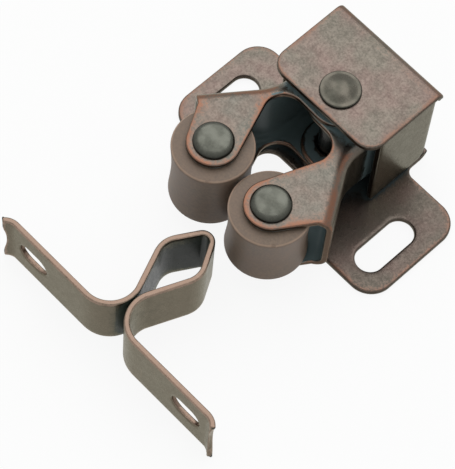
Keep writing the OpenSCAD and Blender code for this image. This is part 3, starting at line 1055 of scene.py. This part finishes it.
roller_dark = finish_colour(102, 86, 72)
roller_light = finish_colour(126, 107, 91)
roller_cloud = finish_colour(122, 100, 86)
roller_scuff = finish_colour(150, 134, 120)
# A light tone for the rim line, partly moulding flash and partly a painted highlight.
roller_flash_and_highlight = finish_colour(196, 166, 146)
roller_grain_size = {"Grains": 2600.0, "Patches": 210.0}
roller_scratch_turn = {"Turn": (0.0, 1.35, 0.1)}
cloud_share = 0.35
scuff_share = 0.35
flash_range = (0.15, 0.85)
flash_share = 0.5

roller_plastic = bpy.data.materials.new("roller brown plastic")
roller_plastic.use_nodes = True
tree = roller_plastic.node_tree
finish = tree.nodes["Principled BSDF"]
finish.inputs["IOR"].default_value = 1.49
place = put(tree, "ShaderNodeTexCoord").outputs["Object"]
grain = put(tree, "ShaderNodeGroup", {"node_tree": plating_grain}, roller_grain_size)
tree.links.new(place, grain.inputs["Vector"])
marks = put(tree, "ShaderNodeGroup", {"node_tree": handling_marks}, roller_scratch_turn)
tree.links.new(place, marks.inputs["Vector"])
moulded = blend_colours(tree, grain.outputs["Speckle"], roller_dark, roller_light)
cloud = math_step(tree, "MULTIPLY", grain.outputs["Patch"], cloud_share)
clouded = blend_colours(tree, cloud, moulded, roller_cloud)
scuff = math_step(tree, "MULTIPLY", marks.outputs["Scratch"], scuff_share)
scuffed = blend_colours(tree, scuff, clouded, roller_scuff)
# The light line at the upper rim is moulding flash, lightened further as a painted highlight.
flash = put(tree, "ShaderNodeAttribute", {"attribute_name": "flash"})
flash_and_highlight_mask = ramp_between(tree, flash.outputs["Fac"], *flash_range, 0.0, flash_share)
tree.links.new(blend_colours(tree, flash_and_highlight_mask, scuffed, roller_flash_and_highlight), finish.inputs["Base Color"])
matt = ramp_between(tree, grain.outputs["Speckle"], 0.0, 1.0, 0.52, 0.60)
tree.links.new(matt, finish.inputs["Roughness"])
grained_bump(tree, grain, finish, strength=0.2, depth=0.00003)

for side, gate_angle in (("left", -51.9), ("right", -39.5)):
    low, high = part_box(f"{side}_roller")
    centre = Vector(((low.x + high.x) / 2, (low.y + high.y) / 2, 0.0))
    profile = roller_profile(low.z, high.z)
    piece = turned(f"{side}_roller_moulded", profile, centre, roller_segments, True)
    add_gate(piece, centre, math.radians(gate_angle), high.z - gate_drop)
    mark_flash_and_highlight(piece, centre, high.z)
    piece.data.materials.append(roller_plastic)
    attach(piece, f"{side}_roller")
    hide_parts(f"{side}_roller")


# Spring: a compression coil of bright steel wire between the tails of the two arms.
# It sits behind the pivot inside the housing and pushes the tails apart, which closes the rollers.
# Each half of it stays on its own arm's tail.

spring_wire = 0.00035
spring_wire_sides = 12
spring_coil = 0.00185
spring_length = 0.0130
spring_turns = 8
spring_half_steps = 128
spring_centre = Vector((0.000204, 0.009145, 0.0094))
spring_along = Vector((math.cos(arm_swing), math.sin(arm_swing), 0.0))
spring_across = Vector((-math.sin(arm_swing), math.cos(arm_swing), 0.0))


def coil_half(name, first, last, body, finish):
    """Half of the coil as a round wire, from one share of its length to another, on one arm's tail."""
    upright = Vector((0.0, 0.0, 1.0))
    shape = bmesh.new()
    rings = []
    for step in range(spring_half_steps + 1):
        share = first + (last - first) * step / spring_half_steps
        turn = 2 * math.pi * spring_turns * share
        radial = spring_across * math.cos(turn) + upright * math.sin(turn)
        run = (spring_length - 2 * spring_wire) * (share - 0.5)
        middle = spring_centre + spring_along * run + radial * spring_coil
        ring = []
        for k in range(spring_wire_sides):
            angle = 2 * math.pi * k / spring_wire_sides
            offset = radial * math.cos(angle) + spring_along * math.sin(angle)
            ring.append(shape.verts.new(middle + offset * spring_wire))
        rings.append(ring)
    for here, following in zip(rings, rings[1:]):
        for k in range(spring_wire_sides):
            m = (k + 1) % spring_wire_sides
            shape.faces.new((here[k], here[m], following[m], following[k]))
    shape.faces.new(rings[0])
    shape.faces.new(rings[-1])
    bmesh.ops.recalc_face_normals(shape, faces=shape.faces[:])
    mesh = bpy.data.meshes.new(name)
    shape.to_mesh(mesh)
    shape.free()
    mesh.polygons.foreach_set("use_smooth", [True] * len(mesh.polygons))
    mesh.materials.append(finish)
    piece = bpy.data.objects.new(name, mesh)
    bpy.context.scene.collection.objects.link(piece)
    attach(piece, body)
    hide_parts("spring")
    return piece


# The lighter top tone is a painted highlight, partly real polish, and the darkest tone is painted
# shade on sides and shank.
wire_finish = filmed_steel(
    "drawn spring wire",
    low=finish_colour(112, 112, 110),
    high=finish_colour(152, 151, 147),
    crown_highlight=finish_colour(176, 175, 170),
    painted_shade=finish_colour(96, 96, 94),
    sheen=0.30,
)
for side, first, last, end, kept in (
    ("left", 0.0, 0.5, -0.5, 0.76),
    ("right", 0.5, 1.0, 0.5, 0.67),
):
    half = coil_half(f"spring_{side}_half", first, last, f"{side}_arm", wire_finish)
    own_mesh(half)


# Strike: one plated steel strip folded into a spear with two slotted feet, screwed to the door.
# Its upper edges are the most rubbed part of the set, and the inside of its loop is painted with deep
# shade.

strike_sheet = 0.00085
strike_edge = 0.00022
strike_grid = 0.0007
# A long reach, so that the inside of the loop gets deep painted shade.
strike_shelter = 0.020
strike_hole = 0.0065

# The upright, oxide and soot tones are painted shade, the oxide tone partly real blackening in
# hollows; the rubbed tone also paints a highlight along folds.
strike_finish = antique_copper(
    "strike antique copper",
    low=finish_colour(93, 84, 71),
    high=finish_colour(131, 119, 103),
    warm=finish_colour(113, 98, 86),
    cool=finish_colour(97, 95, 83),
    upright=finish_colour(95, 87, 75),
    rubbed_and_highlight_tone=finish_colour(140, 119, 106),
    oxide_and_shade=finish_colour(60, 60, 52),
    deep_shade=finish_colour(60, 68, 60),
    cut_tone=finish_colour(122, 103, 91),
)
pressed_sheet(
    pressed_blank("strike"),
    node="strike",
    name="strike_strip",
    body="strike",
    finish=strike_finish,
    thickness=strike_sheet,
    edge_round=strike_edge,
    grid=strike_grid,
    shelter=strike_shelter,
    widest_hole=strike_hole,
)


# Table, light and camera: a white table under one wide soft lamp in a pale room.
# The camera stands where the photo was taken from, above the front right of the catch.

table_half = 0.8
table_drop = 0.00005
table_light = (0.91, 0.91, 0.91, 1.0)
table_dark = (0.88, 0.88, 0.88, 1.0)
table_white_share = 0.90
room_colour = (0.41, 0.43, 0.42, 1.0)
lamp_side = Vector((-0.296, 0.344, 0.891))
lamp_distance = 0.7
lamp_size = 0.9
lamp_power = 3.9
camera_spot = Vector((0.104655, -0.137463, 0.319752))
camera_azimuth = math.radians(40.697)
camera_elevation = math.radians(63.195)
camera_roll = math.radians(6.253)
camera_lens = 193.55

paper = bmesh.new()
bmesh.ops.create_grid(paper, x_segments=24, y_segments=24, size=table_half)
for vert in paper.verts:
    vert.co.z = -table_drop
table_mesh = bpy.data.meshes.new("white_table")
paper.to_mesh(table_mesh)
paper.free()
table = bpy.data.objects.new("white_table", table_mesh)
bpy.context.scene.collection.objects.link(table)


def show_white(tree, lit, white, share, output):
    """Shows plain white to the share of rays that see the background, in the picture or in metal."""
    path = put(tree, "ShaderNodeLightPath")
    shown = math_step(tree, "MAXIMUM", path.outputs["Is Camera Ray"], path.outputs["Is Glossy Ray"])
    shown = math_step(tree, "MAXIMUM", shown, path.outputs["Is Transmission Ray"])
    mix = put(tree, "ShaderNodeMixShader")
    tree.links.new(math_step(tree, "MULTIPLY", shown, share), mix.inputs["Fac"])
    tree.links.new(lit.outputs[0], mix.inputs[1])
    tree.links.new(white.outputs[0], mix.inputs[2])
    tree.links.new(mix.outputs["Shader"], tree.nodes[output].inputs["Surface"])


table_white = bpy.data.materials.new("white table")
table_white.use_nodes = True
tree = table_white.node_tree
matt = tree.nodes["Principled BSDF"]
matt.inputs["Roughness"].default_value = 0.9
matt.inputs["Specular IOR Level"].default_value = 0.1
fibre = put(tree, "ShaderNodeTexNoise", values={"Scale": 900.0, "Detail": 2.0})
tone = blend_colours(tree, fibre.outputs["Fac"], table_dark, table_light)
tree.links.new(tone, matt.inputs["Base Color"])
white = put(tree, "ShaderNodeEmission", values={"Strength": 1.0})
show_white(tree, matt, white, table_white_share, "Material Output")
table_mesh.materials.append(table_white)

room = bpy.data.worlds.new("pale room")
room.use_nodes = True
bpy.context.scene.world = room
tree = room.node_tree
walls = tree.nodes["Background"]
walls.inputs["Color"].default_value = room_colour
backdrop = put(tree, "ShaderNodeBackground", values={"Color": (1.0, 1.0, 1.0, 1.0), "Strength": 1.0})
show_white(tree, walls, backdrop, 1.0, "World Output")

lamp_data = bpy.data.lights.new("soft lamp", "AREA")
lamp_data.shape = "SQUARE"
lamp_data.size = lamp_size
lamp_data.energy = lamp_power
lamp = bpy.data.objects.new("soft_lamp", lamp_data)
bpy.context.scene.collection.objects.link(lamp)
lamp.location = lamp_side * lamp_distance
lamp.rotation_mode = "QUATERNION"
lamp.rotation_quaternion = (-lamp_side).to_track_quat("-Z", "Y")

level = Vector((math.cos(camera_azimuth), math.sin(camera_azimuth), 0.0))
forward = Vector((-math.sin(camera_azimuth), math.cos(camera_azimuth), 0.0))
backward = Vector((0.0, 0.0, math.sin(camera_elevation))) - forward * math.cos(camera_elevation)
upward = backward.cross(level)
right = level * math.cos(camera_roll) + upward * math.sin(camera_roll)
up = upward * math.cos(camera_roll) - level * math.sin(camera_roll)
camera_data = bpy.data.cameras.new("photo camera")
camera_data.sensor_width = 36.0
camera_data.lens = camera_lens
camera_data.clip_start = 0.01
camera_data.clip_end = 5.0
camera = bpy.data.objects.new("photo_camera", camera_data)
bpy.context.scene.collection.objects.link(camera)
facing = Matrix((right, up, backward)).transposed().to_4x4()
camera.matrix_world = Matrix.Translation(camera_spot) @ facing
bpy.context.scene.camera = camera
bpy.context.scene.view_settings.view_transform = "Standard"
